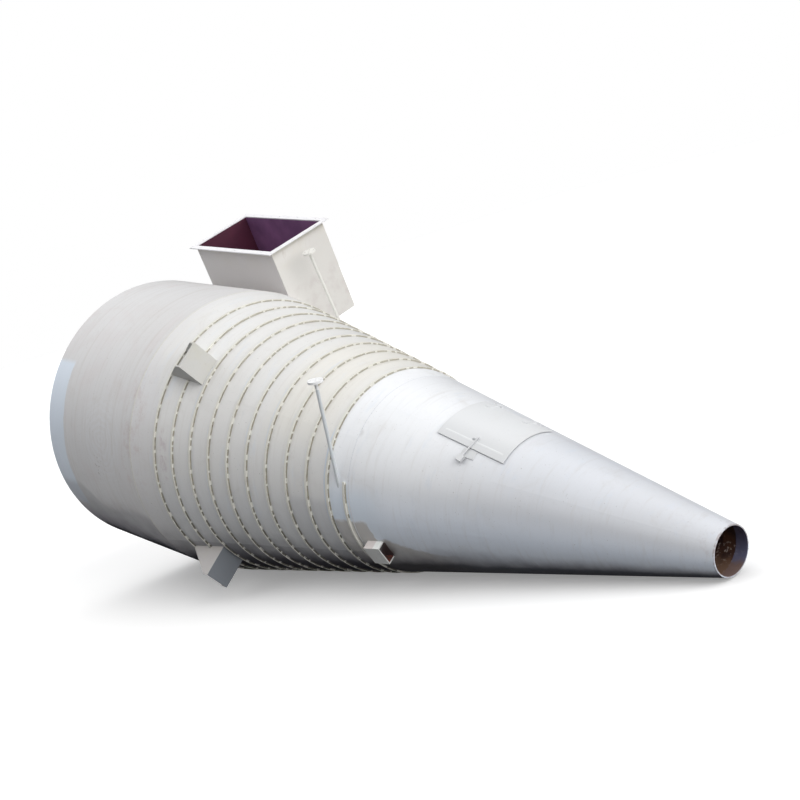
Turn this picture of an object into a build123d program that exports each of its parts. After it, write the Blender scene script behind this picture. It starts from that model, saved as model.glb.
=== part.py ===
"""Cyclone separator lying on the ground, before it is hung in its frame.

Every piece is built upright, as the cyclone works: Z runs up its axis, the joint of
barrel and cone is at Z = 0, and bearings are degrees about Z. The pieces are then laid
down together: the cyclone rests on its stiffener rings and on a corner of one bracket.
"""

import os
from math import acos, asin, atan, atan2, cos, degrees, radians, sin, sqrt

from build123d import *

# Body: radii are to the outside of the plate
barrel_radius = 1000.0
dust_outlet_radius = 136.5
shell_wall = 6.0
roof_thickness = 8.0
barrel_plate_count = 5
ringed_plate_count = 5
smooth_plate_count = 4
roof_plate_count = 4

# Stiffener rings: low bars, rolled the flat way
ring_count = 10
first_ring_depth = 249.0
ring_pitch = 168.0
ring_height = 10.0
ring_width = 18.0
last_ring_to_seam = 164.0

# Lowest ring: it runs round the underside only, and stops on both sides
low_ring_to_seam = 31.0
low_ring_start = -19.0
low_ring_sweep = 209.0

# Gas outlet
vortex_finder_radius = 500.0
vortex_finder_wall = 6.0
vortex_finder_length = 1320.0
gas_outlet_height = 120.0
gas_flange_width = 60.0
gas_flange_thickness = 10.0
gas_bolt_count = 12
gas_bolt_hole_radius = 7.0

# Tangential inlet duct: it enters the barrel's side between two bands of plate
inlet_bearing = 251.7
inlet_inset = 257.0
inlet_width = 503.0
inlet_height = 1011.0
inlet_base_height = 80.0
inlet_head_room = 99.0
inlet_side_length = 374.0
inlet_wall = 6.0
closing_plate_reach = 335.0
inlet_flange_lip = 39.0
inlet_flange_thickness = 8.0

# Support brackets: the last one is turned clear of the duct's outer side
bracket_bearings = (45.0, 135.0, 225.0, 345.0)
bracket_projection = 212.5
bracket_width = 190.0
bracket_ring_number = 3
bracket_ring_gap = 30.0
bracket_plate_thickness = 12.0
gusset_thickness = 10.0
gusset_nose = 40.0
gusset_foot_height = 12.0
ring_notch_clearance = 4.0

# Access hatch, on the smooth course below the rings
hatch_bearing = 257.0
seam_to_hatch = 505.0
hatch_length = 507.0
hatch_width = 400.0
outlet_course_length = 1358.0
hatch_overlap = 35.0
hatch_plate = 5.0
hatch_clearance = 5.0
hinge_pin_radius = 3.0
hinge_pin_clearance = 0.2
hinge_knuckle_radius = 5.5
hinge_knuckle_length = 36.0
hinge_ear_thickness = 6.0
hinge_side_clearance = 5.0
upper_hinge_inset = 76.0
lower_hinge_inset = 142.0
hinge_rise = 11.0
hinge_line_offset = 17.0
hinge_arm_overlap = 6.0
hinge_ear_root = 20.0
hinge_ear_foot = 14.0
hinge_leaf_reach = 60.0
hinge_leaf_thickness = 3.0
latch_from_hatch_top = 255.0
latch_turn = -12.5
latch_bar_reach = 80.0
latch_bar_width = 9.0
latch_bar_height = 17.0
latch_overhang = 58.0
latch_grip_length = 41.0
latch_grip_width = 41.0
latch_grip_height = 25.0
latch_grip_shift = 6.5
latch_grip_clearance = 7.0
keeper_length = 95.0
keeper_width = 50.0
keeper_thickness = 5.0
keeper_shift = 12.0
keeper_gap = 8.0

# Small tangential nozzles: pipe and flange sizes are those of a 15 mm bore line
nozzle_radius = 10.65
nozzle_wall = 2.65
nozzle_flange_radius = 47.5
nozzle_flange_thickness = 14.0
nozzle_bolt_circle = 65.0
nozzle_bolt_count = 4
nozzle_bolt_hole_radius = 7.0
cone_nozzle_bearing = 262.6
cone_nozzle_to_seam = 80.0
cone_nozzle_inset = 28.0
cone_nozzle_reach = 828.0
barrel_nozzle_bearing = 249.5
barrel_nozzle_depth = 80.0
barrel_nozzle_inset = 0.0
barrel_nozzle_reach = 915.0

# Channel lug on the cone
lug_bearing = 147.2
seam_to_lug = 50.0
lug_length = 120.0
lug_width = 140.0
lug_height = 55.0
lug_web = 7.0
lug_leg = 10.0

# Values that follow from the sizes above
barrel_length = inlet_base_height + inlet_height + inlet_head_room
ringed_course_length = first_ring_depth + (ring_count - 1) * ring_pitch + last_ring_to_seam
hatch_top_depth = ringed_course_length + seam_to_hatch
hatch_opening_top = hatch_top_depth + hatch_overlap
hatch_opening_bottom = hatch_top_depth + hatch_length - hatch_overlap
hatch_opening_half = hatch_width / 2 - hatch_overlap
cone_length = hatch_opening_bottom + outlet_course_length
cone_slope = (barrel_radius - dust_outlet_radius) / cone_length
cone_angle = degrees(atan(cone_slope))
cone_wall = shell_wall / cos(radians(cone_angle))
hinge_depths = (
    hatch_top_depth + upper_hinge_inset,
    hatch_top_depth + hatch_length - lower_hinge_inset,
)
hinge_arm_height = hatch_clearance + hatch_plate / 2 - hinge_rise
latch_depth = hatch_top_depth + latch_from_hatch_top
cone_nozzle_depth = ringed_course_length - cone_nozzle_to_seam
lug_top_depth = ringed_course_length + seam_to_lug
inlet_inner_offset = barrel_radius - inlet_inset
inlet_outer_offset = inlet_inner_offset + inlet_width
inlet_reach = sqrt(barrel_radius**2 - inlet_inner_offset**2) + inlet_side_length
duct_end = inlet_reach - inlet_flange_thickness

# Sector and reach that take in the whole hatch, for the shapes it is cut from
hatch_sector = 120.0
tool_margin = 200.0


def shell_radius(depth):
    """Outside radius at a depth below the joint of barrel and cone."""
    return barrel_radius - cone_slope * max(depth, 0.0)


bracket_depth = first_ring_depth + (bracket_ring_number - 1) * ring_pitch - bracket_ring_gap
bracket_reach = shell_radius(bracket_depth) + bracket_projection


def spoke_plane(bearing):
    """Upright plane through the axis: its x is the radius, its y is the height."""
    out = Vector(cos(radians(bearing)), sin(radians(bearing)), 0)
    return Plane(origin=(0, 0, 0), x_dir=out, z_dir=out.cross(Vector(0, 0, 1)))


def level_plane(bearing, height=0.0):
    """Level plane whose x points along the bearing."""
    out = Vector(cos(radians(bearing)), sin(radians(bearing)), 0)
    return Plane(origin=(0, 0, height), x_dir=out, z_dir=(0, 0, 1))


def surface_plane(bearing, depth):
    """Plane on the cone: x points straight out of the plate, z runs down the cone."""
    out = Vector(cos(radians(bearing)), sin(radians(bearing)), 0)
    down = (Vector(0, 0, -1) - out * cone_slope).normalized()
    normal = (out - Vector(0, 0, 1) * cone_slope).normalized()
    origin = out * shell_radius(depth) + Vector(0, 0, -depth)
    return Plane(origin=origin, x_dir=normal, z_dir=down)


def resting_pose():
    """Where the upright cyclone lies: on its rings, leaning on the first bracket."""
    ring_edge = shell_radius(first_ring_depth) + ring_height
    lean = radians(cone_angle)
    ring_drop = ring_edge * cos(lean) + (first_ring_depth + ring_width / 2) * sin(lean)
    bracket_need = (ring_drop - bracket_depth * sin(lean)) / cos(lean)
    corner_reach = sqrt(bracket_reach**2 + (bracket_width / 2) ** 2)
    corner_angle = degrees(atan2(bracket_width / 2, bracket_reach))
    roll = degrees(acos(bracket_need / corner_reach)) + corner_angle
    down = radians(bracket_bearings[0] + roll)
    x_dir = (-sin(lean) * cos(down), sin(down), -cos(lean) * cos(down))
    return Plane(origin=(0, 0, ring_drop), x_dir=x_dir, z_dir=(-cos(lean), 0, sin(lean)))


pieces = []


def keep(piece, name):
    """Label a finished upright piece and keep it for laying down."""
    piece.label = name
    pieces.append(piece)


def wall_sector(outline, start, sweep):
    """Sector of a round wall: the outline holds (radius, height) corners."""
    with BuildPart() as sector:
        with BuildSketch(spoke_plane(start)):
            with BuildLine():
                Polyline(*outline, close=True)
            make_face()
        revolve(axis=Axis.Z, revolution_arc=sweep)
    return sector.part


def cone_outline(top, bottom):
    """Section of the cone's plate between two depths."""
    top_radius = shell_radius(top)
    bottom_radius = shell_radius(bottom)
    return [
        (top_radius, -top),
        (top_radius - cone_wall, -top),
        (bottom_radius - cone_wall, -bottom),
        (bottom_radius, -bottom),
    ]


def body_solid():
    """The cyclone's whole outside as one solid, for trimming what stands on it."""
    with BuildPart() as body:
        with BuildSketch(Plane.XZ):
            with BuildLine():
                Polyline(
                    (0, barrel_length),
                    (barrel_radius, barrel_length),
                    (barrel_radius, 0),
                    (dust_outlet_radius, -cone_length),
                    (0, -cone_length),
                    close=True,
                )
            make_face()
        revolve(axis=Axis.Z)
    return body.part


body = body_solid()


def make_barrel():
    """Rolled barrel plates, with a window for the inlet and a bridge over and under it."""
    near_angle = degrees(asin((inlet_inner_offset + inlet_wall) / barrel_radius))
    far_angle = degrees(acos(closing_plate_reach / barrel_radius))
    window_start = inlet_bearing + near_angle
    window_sweep = far_angle - near_angle
    plate_top = barrel_length - roof_thickness
    inside = barrel_radius - shell_wall
    sweep = (360.0 - window_sweep) / barrel_plate_count
    outline = [(inside, 0), (barrel_radius, 0), (barrel_radius, plate_top), (inside, plate_top)]
    for index in range(barrel_plate_count):
        start = window_start + window_sweep + index * sweep
        keep(wall_sector(outline, start, sweep), f"barrel_plate_{index + 1}")

    window_low = inlet_base_height + inlet_wall
    window_high = inlet_base_height + inlet_height - inlet_wall
    with BuildPart() as bridge:
        with BuildSketch(spoke_plane(window_start)):
            for low, high in ((0, window_low), (window_high, plate_top)):
                with Locations(((inside + barrel_radius) / 2, (low + high) / 2)):
                    Rectangle(shell_wall, high - low)
        revolve(axis=Axis.Z, revolution_arc=window_sweep)
    keep(bridge.part, "barrel_inlet_bridge")


def make_roof():
    """Flat roof plates around the gas outlet."""
    low = barrel_length - roof_thickness
    outline = [
        (vortex_finder_radius, low),
        (barrel_radius, low),
        (barrel_radius, barrel_length),
        (vortex_finder_radius, barrel_length),
    ]
    sweep = 360.0 / roof_plate_count
    for index in range(roof_plate_count):
        keep(wall_sector(outline, index * sweep, sweep), f"roof_plate_{index + 1}")


def make_gas_outlet():
    """Vortex finder tube through the roof, and the flange on its top end."""
    outlet_top = barrel_length + gas_outlet_height
    inside = vortex_finder_radius - vortex_finder_wall
    tube_top = outlet_top - gas_flange_thickness
    with BuildPart() as finder:
        with BuildSketch(Plane.XY.offset(outlet_top - vortex_finder_length)):
            Circle(vortex_finder_radius)
            Circle(inside, mode=Mode.SUBTRACT)
        extrude(amount=tube_top - (outlet_top - vortex_finder_length))
    keep(finder.part, "vortex_finder")

    with BuildPart() as flange:
        with BuildSketch(Plane.XY.offset(tube_top)):
            Circle(vortex_finder_radius + gas_flange_width)
            Circle(inside, mode=Mode.SUBTRACT)
            with PolarLocations(vortex_finder_radius + gas_flange_width / 2, gas_bolt_count):
                Circle(gas_bolt_hole_radius, mode=Mode.SUBTRACT)
        extrude(amount=gas_flange_thickness)
    keep(flange.part, "gas_outlet_flange")


def inlet_slab(along, across, heights):
    """Slab in the inlet's frame, trimmed where it meets the barrel."""
    with BuildPart() as slab:
        with BuildSketch(level_plane(inlet_bearing, heights[0])):
            with Locations(((along[0] + along[1]) / 2, (across[0] + across[1]) / 2)):
                Rectangle(along[1] - along[0], across[1] - across[0])
        extrude(amount=heights[1] - heights[0])
        add(body, mode=Mode.SUBTRACT)
    return slab.part


def make_inlet():
    """Rectangular inlet duct that runs off the barrel's far side, and its flange."""
    inner, outer = inlet_inner_offset, inlet_outer_offset
    base, top = inlet_base_height, inlet_base_height + inlet_height
    clear_across = (inner + inlet_wall, outer - inlet_wall)
    near = inlet_slab((0, duct_end), (inner, inner + inlet_wall), (base, top))
    keep(near, "inlet_inner_wall")
    far = inlet_slab((closing_plate_reach, duct_end), (outer - inlet_wall, outer), (base, top))
    keep(far, "inlet_outer_wall")
    along = (closing_plate_reach, duct_end)
    low = inlet_slab(along, clear_across, (base, base + inlet_wall))
    keep(low, "inlet_lower_wall")
    high = inlet_slab(along, clear_across, (top - inlet_wall, top))
    keep(high, "inlet_upper_wall")
    closing_along = (closing_plate_reach - inlet_wall, closing_plate_reach)
    closing = inlet_slab(closing_along, (inner + inlet_wall, outer), (base, top))
    keep(closing, "inlet_closing_plate")

    middle = ((inner + outer) / 2, (base + top) / 2)
    out = Vector(cos(radians(inlet_bearing)), sin(radians(inlet_bearing)), 0)
    side = Vector(-out.Y, out.X, 0)
    face = Plane(origin=out * duct_end, x_dir=side, z_dir=out)
    with BuildPart() as flange:
        with BuildSketch(face):
            with Locations(middle):
                Rectangle(inlet_width + 2 * inlet_flange_lip, inlet_height + 2 * inlet_flange_lip)
                Rectangle(
                    inlet_width - 2 * inlet_wall,
                    inlet_height - 2 * inlet_wall,
                    mode=Mode.SUBTRACT,
                )
        extrude(amount=inlet_flange_thickness)
    keep(flange.part, "inlet_flange")


def make_ringed_cone():
    """Upper course of the cone and the flat bars welded around it."""
    sweep = 360.0 / ringed_plate_count
    outline = cone_outline(0, ringed_course_length)
    for index in range(ringed_plate_count):
        keep(wall_sector(outline, index * sweep, sweep), f"ringed_cone_plate_{index + 1}")
    for index in range(ringed_plate_count):
        with BuildPart() as arcs:
            for ring in range(ring_count):
                depth = first_ring_depth + ring * ring_pitch
                with BuildSketch(spoke_plane(index * sweep)):
                    with BuildLine():
                        Polyline(*ring_outline(depth), close=True)
                    make_face()
            revolve(axis=Axis.Z, revolution_arc=sweep)
        keep(arcs.part, f"ring_arcs_{index + 1}")

    with BuildPart() as low_arc:
        with BuildSketch(spoke_plane(low_ring_start)):
            with BuildLine():
                Polyline(*ring_outline(ringed_course_length - low_ring_to_seam), close=True)
            make_face()
        revolve(axis=Axis.Z, revolution_arc=low_ring_sweep)
    keep(low_arc.part, "ring_low_arc")


def ring_outline(depth):
    """Section of one flat bar, whose root follows the cone."""
    upper = depth - ring_width / 2
    lower = depth + ring_width / 2
    edge = shell_radius(depth) + ring_height
    return [
        (shell_radius(upper), -upper),
        (edge, -upper),
        (edge, -lower),
        (shell_radius(lower), -lower),
    ]


def make_smooth_cone():
    """Lower courses of the cone, with the access opening left between plates."""
    sweep = 360.0 / smooth_plate_count
    upper = cone_outline(ringed_course_length, hatch_opening_bottom)
    column_half = hatch_opening_half
    for index in range(smooth_plate_count):
        with BuildPart() as plate:
            add(wall_sector(upper, hatch_bearing + index * sweep, sweep))
            with BuildSketch(level_plane(hatch_bearing, -hatch_opening_bottom)):
                with Locations((barrel_radius / 2, 0)):
                    Rectangle(barrel_radius, 2 * column_half)
            extrude(amount=hatch_opening_bottom - ringed_course_length, mode=Mode.SUBTRACT)
        keep(plate.part, f"smooth_cone_plate_{index + 1}")

    above = cone_outline(ringed_course_length, hatch_opening_top)
    with BuildPart() as column:
        add(wall_sector(above, hatch_bearing - hatch_sector / 2, hatch_sector))
        with BuildSketch(level_plane(hatch_bearing, -hatch_opening_top)):
            with Locations((barrel_radius / 2, 0)):
                Rectangle(barrel_radius, 2 * column_half)
        extrude(amount=hatch_opening_top - ringed_course_length, mode=Mode.INTERSECT)
    keep(column.part, "cone_plate_above_hatch")

    lower = cone_outline(hatch_opening_bottom, cone_length)
    for index in range(smooth_plate_count):
        start = hatch_bearing + (index + 0.5) * sweep
        keep(wall_sector(lower, start, sweep), f"outlet_cone_plate_{index + 1}")


def make_brackets():
    """Support brackets: a level base plate under two gussets, notched over a ring."""
    half = bracket_width / 2
    gusset_top = first_ring_depth + ring_width / 2 + ring_notch_clearance
    plate_top = bracket_depth - bracket_plate_thickness
    shell_reach = shell_radius(bracket_depth) - bracket_width
    foot_reach = shell_radius(gusset_top) + gusset_foot_height
    for index, bearing in enumerate(bracket_bearings):
        spoke = spoke_plane(bearing)
        with BuildPart() as bracket:
            with BuildSketch(level_plane(bearing, -bracket_depth)):
                with Locations(((shell_reach + bracket_reach) / 2, 0)):
                    Rectangle(bracket_reach - shell_reach, bracket_width)
            extrude(amount=bracket_plate_thickness)
            for side in (-1, 1):
                middle = side * (half - gusset_thickness / 2)
                with BuildSketch(spoke.offset(middle)):
                    with BuildLine():
                        Polyline(
                            (shell_reach, -gusset_top),
                            (foot_reach, -gusset_top),
                            (bracket_reach, gusset_nose - plate_top),
                            (bracket_reach, -plate_top),
                            (shell_reach, -plate_top),
                            close=True,
                        )
                    make_face()
                extrude(amount=gusset_thickness / 2, both=True)
            add(body, mode=Mode.SUBTRACT)
            with BuildSketch(spoke):
                for ring in range(ring_count):
                    depth = first_ring_depth + ring * ring_pitch
                    with Locations((shell_radius(depth), -depth)):
                        Rectangle(
                            2 * (ring_height + ring_notch_clearance),
                            ring_width + 2 * ring_notch_clearance,
                        )
            revolve(axis=Axis.Z, mode=Mode.SUBTRACT)
        keep(bracket.part, f"support_bracket_{index + 1}")


def make_nozzle(name, bearing, side_bearing, depth, inset, reach):
    """Small pipe that runs off one side of the shell, with a drilled flange."""
    out = Vector(cos(radians(bearing)), sin(radians(bearing)), 0)
    side = Vector(cos(radians(side_bearing)), sin(radians(side_bearing)), 0)
    start = side * (shell_radius(depth) - inset) + Vector(0, 0, -depth)
    along = Plane(origin=start, x_dir=(0, 0, 1), z_dir=out)
    with BuildPart() as nozzle:
        with BuildSketch(along):
            Circle(nozzle_radius)
        extrude(amount=reach)
        with BuildSketch(along.offset(reach - nozzle_flange_thickness)):
            Circle(nozzle_flange_radius)
            with PolarLocations(nozzle_bolt_circle / 2, nozzle_bolt_count, start_angle=45):
                Circle(nozzle_bolt_hole_radius, mode=Mode.SUBTRACT)
        extrude(amount=nozzle_flange_thickness)
        with BuildSketch(along):
            Circle(nozzle_radius - nozzle_wall)
        extrude(amount=reach, mode=Mode.SUBTRACT)
        add(body, mode=Mode.SUBTRACT)
    keep(nozzle.part, name)


def make_lug():
    """Short length of channel on the cone, its legs to the plate."""
    base = surface_plane(lug_bearing, lug_top_depth)
    with BuildPart() as lug:
        with BuildSketch(base):
            Rectangle(2 * lug_height, lug_width)
            Rectangle(2 * (lug_height - lug_web), lug_width - 2 * lug_leg, mode=Mode.SUBTRACT)
        extrude(amount=lug_length)
        add(body, mode=Mode.SUBTRACT)
    keep(lug.part, "channel_lug")


def hatch_shell(inner_gap, thickness, half_width, top, bottom):
    """Curved plate that follows the cone over a stretch of the hatch."""
    outline = [
        (shell_radius(top) + inner_gap, -top),
        (shell_radius(top) + inner_gap + thickness, -top),
        (shell_radius(bottom) + inner_gap + thickness, -bottom),
        (shell_radius(bottom) + inner_gap, -bottom),
    ]
    with BuildPart() as plate:
        add(wall_sector(outline, hatch_bearing - hatch_sector / 2, hatch_sector))
        with BuildSketch(level_plane(hatch_bearing, -bottom)):
            with Locations((barrel_radius / 2, 0)):
                Rectangle(barrel_radius, 2 * half_width)
        extrude(amount=bottom - top, mode=Mode.INTERSECT)
    return plate.part


def hinge_plane():
    """Plane across the hinge line: x follows the plate away from the door, y stands on it."""
    offset = hatch_width / 2 + hinge_line_offset
    seats = []
    for depth in hinge_depths:
        turn = degrees(asin(offset / shell_radius(depth)))
        seats.append(surface_plane(hatch_bearing + turn, depth))
    points = [seat.origin + seat.x_dir * hinge_rise for seat in seats]
    along = (points[1] - points[0]).normalized()
    rise = (seats[0].x_dir + seats[1].x_dir).normalized()
    middle = (points[0] + points[1]) * 0.5
    half_span = (points[1] - points[0]).length / 2
    return Plane(origin=middle, x_dir=rise.cross(along), z_dir=along), half_span


def grown_body(growth):
    """The cone's outside, grown outwards, for trimming what stands clear of it."""
    with BuildPart() as grown:
        with BuildSketch(Plane.XZ):
            with BuildLine():
                Polyline(
                    (0, 0),
                    (barrel_radius + growth, 0),
                    (dust_outlet_radius + growth, -cone_length),
                    (0, -cone_length),
                    close=True,
                )
            make_face()
        revolve(axis=Axis.Z)
    return grown.part


def hinge_leaf(depth, gap, thick):
    """Curved leaf that lies on the door at one hinge."""
    top = depth - hinge_knuckle_length / 2
    bottom = depth + hinge_knuckle_length / 2
    with BuildPart() as leaf:
        add(hatch_shell(gap + thick, hinge_leaf_thickness, hatch_width / 2, top, bottom))
        with BuildSketch(level_plane(hatch_bearing, -bottom)):
            with Locations((barrel_radius / 2, (hatch_width - hinge_leaf_reach) / 2)):
                Rectangle(barrel_radius, hinge_leaf_reach)
        extrude(amount=bottom - top, mode=Mode.INTERSECT)
    return leaf.part


def hinge_arm_reach(across):
    """How far a door arm runs from the hinge line, to end inside the door's edge."""
    side = level_plane(hatch_bearing).y_dir
    start = across.origin.dot(side) + hinge_arm_height * across.y_dir.dot(side)
    return (start - hatch_width / 2 + hinge_arm_overlap) / across.x_dir.dot(side)


def make_hatch_door():
    """Curved door over the opening, with the leaves and knuckles of its two hinges."""
    across, half_span = hinge_plane()
    gap = hatch_clearance / cos(radians(cone_angle))
    thick = hatch_plate / cos(radians(cone_angle))
    bottom = hatch_top_depth + hatch_length
    leaves = [hinge_leaf(depth, gap, thick) for depth in hinge_depths]
    arm = hinge_arm_reach(across)
    with BuildPart() as door:
        add(hatch_shell(gap, thick, hatch_width / 2, hatch_top_depth, bottom))
        add(leaves)
        for place in (-half_span, half_span):
            low = across.offset(place - hinge_knuckle_length / 2)
            with BuildSketch(low):
                Circle(hinge_knuckle_radius)
                with Locations((-arm / 2, hinge_arm_height)):
                    Rectangle(arm, hatch_plate)
            extrude(amount=hinge_knuckle_length)
            with BuildSketch(low):
                Circle(hinge_pin_radius + hinge_pin_clearance)
            extrude(amount=hinge_knuckle_length, mode=Mode.SUBTRACT)
    keep(door.part, "hatch_door")


def make_hatch_hinges():
    """Ears that stand on the cone at each hinge, with the pin through them."""
    across, half_span = hinge_plane()
    ear_gap = hinge_knuckle_length + 2 * hinge_side_clearance
    with BuildPart() as hinges:
        for place in (-half_span, half_span):
            middle = across.offset(place)
            for side in (-1, 1):
                inner = side * ear_gap / 2
                low = middle.offset(min(inner, inner + side * hinge_ear_thickness))
                with BuildSketch(low):
                    Circle(hinge_knuckle_radius)
                    with BuildLine():
                        Polyline(
                            (-hinge_knuckle_radius, 0),
                            (hinge_knuckle_radius, 0),
                            (hinge_ear_foot, -hinge_ear_root),
                            (-hinge_knuckle_radius, -hinge_ear_root),
                            close=True,
                        )
                    make_face()
                extrude(amount=hinge_ear_thickness)
            pin_length = ear_gap + 2 * hinge_ear_thickness
            with BuildSketch(middle.offset(-pin_length / 2)):
                Circle(hinge_pin_radius)
            extrude(amount=pin_length)
        add(body, mode=Mode.SUBTRACT)
    keep(hinges.part, "hatch_hinges")


def latch_plane():
    """Plane on the cone at the door's free edge: y points away from the door."""
    edge_angle = degrees(asin(hatch_width / 2 / shell_radius(latch_depth)))
    return surface_plane(hatch_bearing - edge_angle, latch_depth)


def make_latch():
    """Latch bar over the door's free edge with its grip, and the keeper pad under it."""
    base = latch_plane()
    swung_down = base.z_dir.rotate(Axis((0, 0, 0), base.x_dir), latch_turn)
    swung = Plane(origin=base.origin, x_dir=base.x_dir, z_dir=swung_down)
    grown = grown_body((hatch_clearance + hatch_plate) / cos(radians(cone_angle)))
    with BuildPart() as latch:
        with BuildSketch(swung.offset(-latch_bar_width / 2)):
            with Locations((latch_bar_height / 2, (latch_overhang - latch_bar_reach) / 2)):
                Rectangle(latch_bar_height, latch_overhang + latch_bar_reach)
        extrude(amount=latch_bar_width)
        with BuildSketch(swung.offset(latch_grip_shift - latch_grip_length / 2)):
            grip_rise = latch_grip_height - latch_grip_clearance
            with Locations(
                (latch_grip_clearance + grip_rise / 2, latch_overhang + latch_grip_width / 2)
            ):
                Rectangle(grip_rise, latch_grip_width)
        extrude(amount=latch_grip_length)
        add(grown, mode=Mode.SUBTRACT)
    keep(latch.part, "hatch_latch")

    outline_top = latch_depth + keeper_shift - keeper_length / 2
    outline_bottom = outline_top + keeper_length
    rise = keeper_thickness / cos(radians(cone_angle))
    outline = [
        (shell_radius(outline_top), -outline_top),
        (shell_radius(outline_top) + rise, -outline_top),
        (shell_radius(outline_bottom) + rise, -outline_bottom),
        (shell_radius(outline_bottom), -outline_bottom),
    ]
    with BuildPart() as keeper:
        add(wall_sector(outline, hatch_bearing - hatch_sector / 2, hatch_sector / 2))
        with BuildSketch(base.offset(-tool_margin)):
            with Locations((0, keeper_gap + keeper_width / 2)):
                Rectangle(tool_margin, keeper_width)
        extrude(amount=2 * tool_margin, mode=Mode.INTERSECT)
    keep(keeper.part, "hatch_keeper")


make_barrel()
make_roof()
make_gas_outlet()
make_inlet()
make_ringed_cone()
make_smooth_cone()
make_brackets()
make_nozzle(
    "cone_nozzle",
    cone_nozzle_bearing,
    cone_nozzle_bearing - 90,
    cone_nozzle_depth,
    cone_nozzle_inset,
    cone_nozzle_reach,
)
make_nozzle(
    "barrel_nozzle",
    barrel_nozzle_bearing,
    barrel_nozzle_bearing + 90,
    barrel_nozzle_depth,
    barrel_nozzle_inset,
    barrel_nozzle_reach,
)
make_lug()
make_hatch_door()
make_hatch_hinges()
make_latch()

# Lay the pieces down and set the origin on the ground, in the middle of the footprint
lying = resting_pose().location
footprint = Compound(children=[piece.moved(lying) for piece in pieces]).bounding_box()
centre = Location((-footprint.center().X, -footprint.center().Y, 0))
os.makedirs("parts", exist_ok=True)
for piece in pieces:
    laid = piece.moved(centre * lying)
    laid.label = piece.label
    export_step(laid, f"parts/{piece.label}.step")
print("pieces", len(pieces), "size", footprint.size, "lowest", round(footprint.min.Z, 3))
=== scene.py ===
"""Looks of the cyclone separator: paint, dirt, welds and small hatch and flange details.

Lengths are metres and bearings are degrees, or turns inside a material. Most details are
placed as they are on the upright cyclone: by bearing about its axis, by depth below the
joint of barrel and cone, and by lift over the plate. The function at() turns these into
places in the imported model, where the cyclone lies on its rings and a corner of one bracket.
"""

import math
import random

import bmesh
import bpy
from mathutils import Matrix, Vector


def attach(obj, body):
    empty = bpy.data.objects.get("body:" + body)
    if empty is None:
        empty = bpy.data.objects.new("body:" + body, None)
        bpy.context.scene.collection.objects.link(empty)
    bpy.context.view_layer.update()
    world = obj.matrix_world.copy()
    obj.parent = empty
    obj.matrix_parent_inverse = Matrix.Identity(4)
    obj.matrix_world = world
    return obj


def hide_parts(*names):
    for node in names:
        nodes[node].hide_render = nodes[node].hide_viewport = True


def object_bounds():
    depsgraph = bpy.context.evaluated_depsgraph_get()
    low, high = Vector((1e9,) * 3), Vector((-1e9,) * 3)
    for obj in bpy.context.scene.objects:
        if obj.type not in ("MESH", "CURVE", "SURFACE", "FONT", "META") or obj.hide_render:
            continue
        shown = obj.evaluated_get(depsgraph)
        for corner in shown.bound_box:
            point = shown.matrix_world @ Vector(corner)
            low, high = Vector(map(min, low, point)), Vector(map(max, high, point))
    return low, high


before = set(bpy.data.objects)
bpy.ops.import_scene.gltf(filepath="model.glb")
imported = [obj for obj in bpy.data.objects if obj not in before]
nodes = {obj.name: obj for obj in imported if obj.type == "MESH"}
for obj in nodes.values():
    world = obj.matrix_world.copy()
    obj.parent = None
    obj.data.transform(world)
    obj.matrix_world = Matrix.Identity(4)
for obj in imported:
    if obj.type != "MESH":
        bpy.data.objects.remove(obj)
cad_low, cad_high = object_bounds()
scene = bpy.context.scene
scene.view_settings.view_transform = "Standard"
chance = random.Random(7)

# Sizes of the cyclone that the details follow
BARREL_RADIUS = 1.0
CONE_LENGTH = 4.26
TIP_RADIUS = 0.1365
SLOPE = (BARREL_RADIUS - TIP_RADIUS) / CONE_LENGTH
FIRST_RING, RING_PITCH = 0.249, 0.168
RING_DEPTHS = [FIRST_RING + RING_PITCH * index for index in range(10)]
RING_HEIGHT = 0.010
RING_HALF = 0.009
LAST_RING = RING_DEPTHS[-1]
SEAM_DEPTH = LAST_RING + 0.164

# The low ring goes only part of the way round: bearings of its ends and of its dark dashes of
# grime and painted shade
LOW_RING = SEAM_DEPTH - 0.031
LOW_RING_SPAN = (-19.0, 190.0)
LOW_RING_DASHES = ((20.0, 27.0), (61.0, 69.0), (118.0, 126.0), (169.0, 171.5), (178.0, 188.6))

DUCT_BEARING = 251.7
DUCT_NEAR, DUCT_FAR = 0.743, 1.246
DUCT_LOW, DUCT_HIGH = 0.08, 1.091
DUCT_MOUTH = 1.0433
DUCT_CLOSED_END = 0.335
DUCT_WALL = 0.006
FLANGE_THICKNESS = 0.008
FLANGE_BOLT_LINE = 0.0205
BOLT_HOLE_RADIUS = 0.007

HATCH_BEARING = 257.0
HATCH_TOP = SEAM_DEPTH + 0.505
HATCH_BOTTOM = HATCH_TOP + 0.507
HATCH_HALF = 0.2

NOZZLE_BEARING = 262.6
NOZZLE_DEPTH = SEAM_DEPTH - 0.08
NOZZLE_REACH, NOZZLE_INSET = 0.828, 0.028
NOZZLE_FLANGE_RADIUS, NOZZLE_FLANGE_THICKNESS = 0.0475, 0.014
LUG_BEARING = 147.2
LUG_TOP = SEAM_DEPTH + 0.05
LUG_LENGTH = 0.12
LUG_HALF, LUG_LEG = 0.07, 0.010
LUG_HEIGHT, LUG_WEB = 0.055, 0.007

# How far into a wall its inner face may lie and still be found
INNER_MARGIN = 0.0005

# The latch's bolt and marks on the shell, by bearing and depth; the stains have a size too
LATCH_BOLT = (238.6, 2.674)
WIPED_AT = (186.5, -0.417)
SPECKS_AT = (175.0, -0.468)
STAINS = ((271.0, 1.867, 0.03), (219.0, 1.927, 0.035))

# How the cyclone lies: by how much its axis leans, and which bearing is the lowest
LEAN = math.atan(SLOPE)
LOWEST = math.radians(85.39453)

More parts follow.
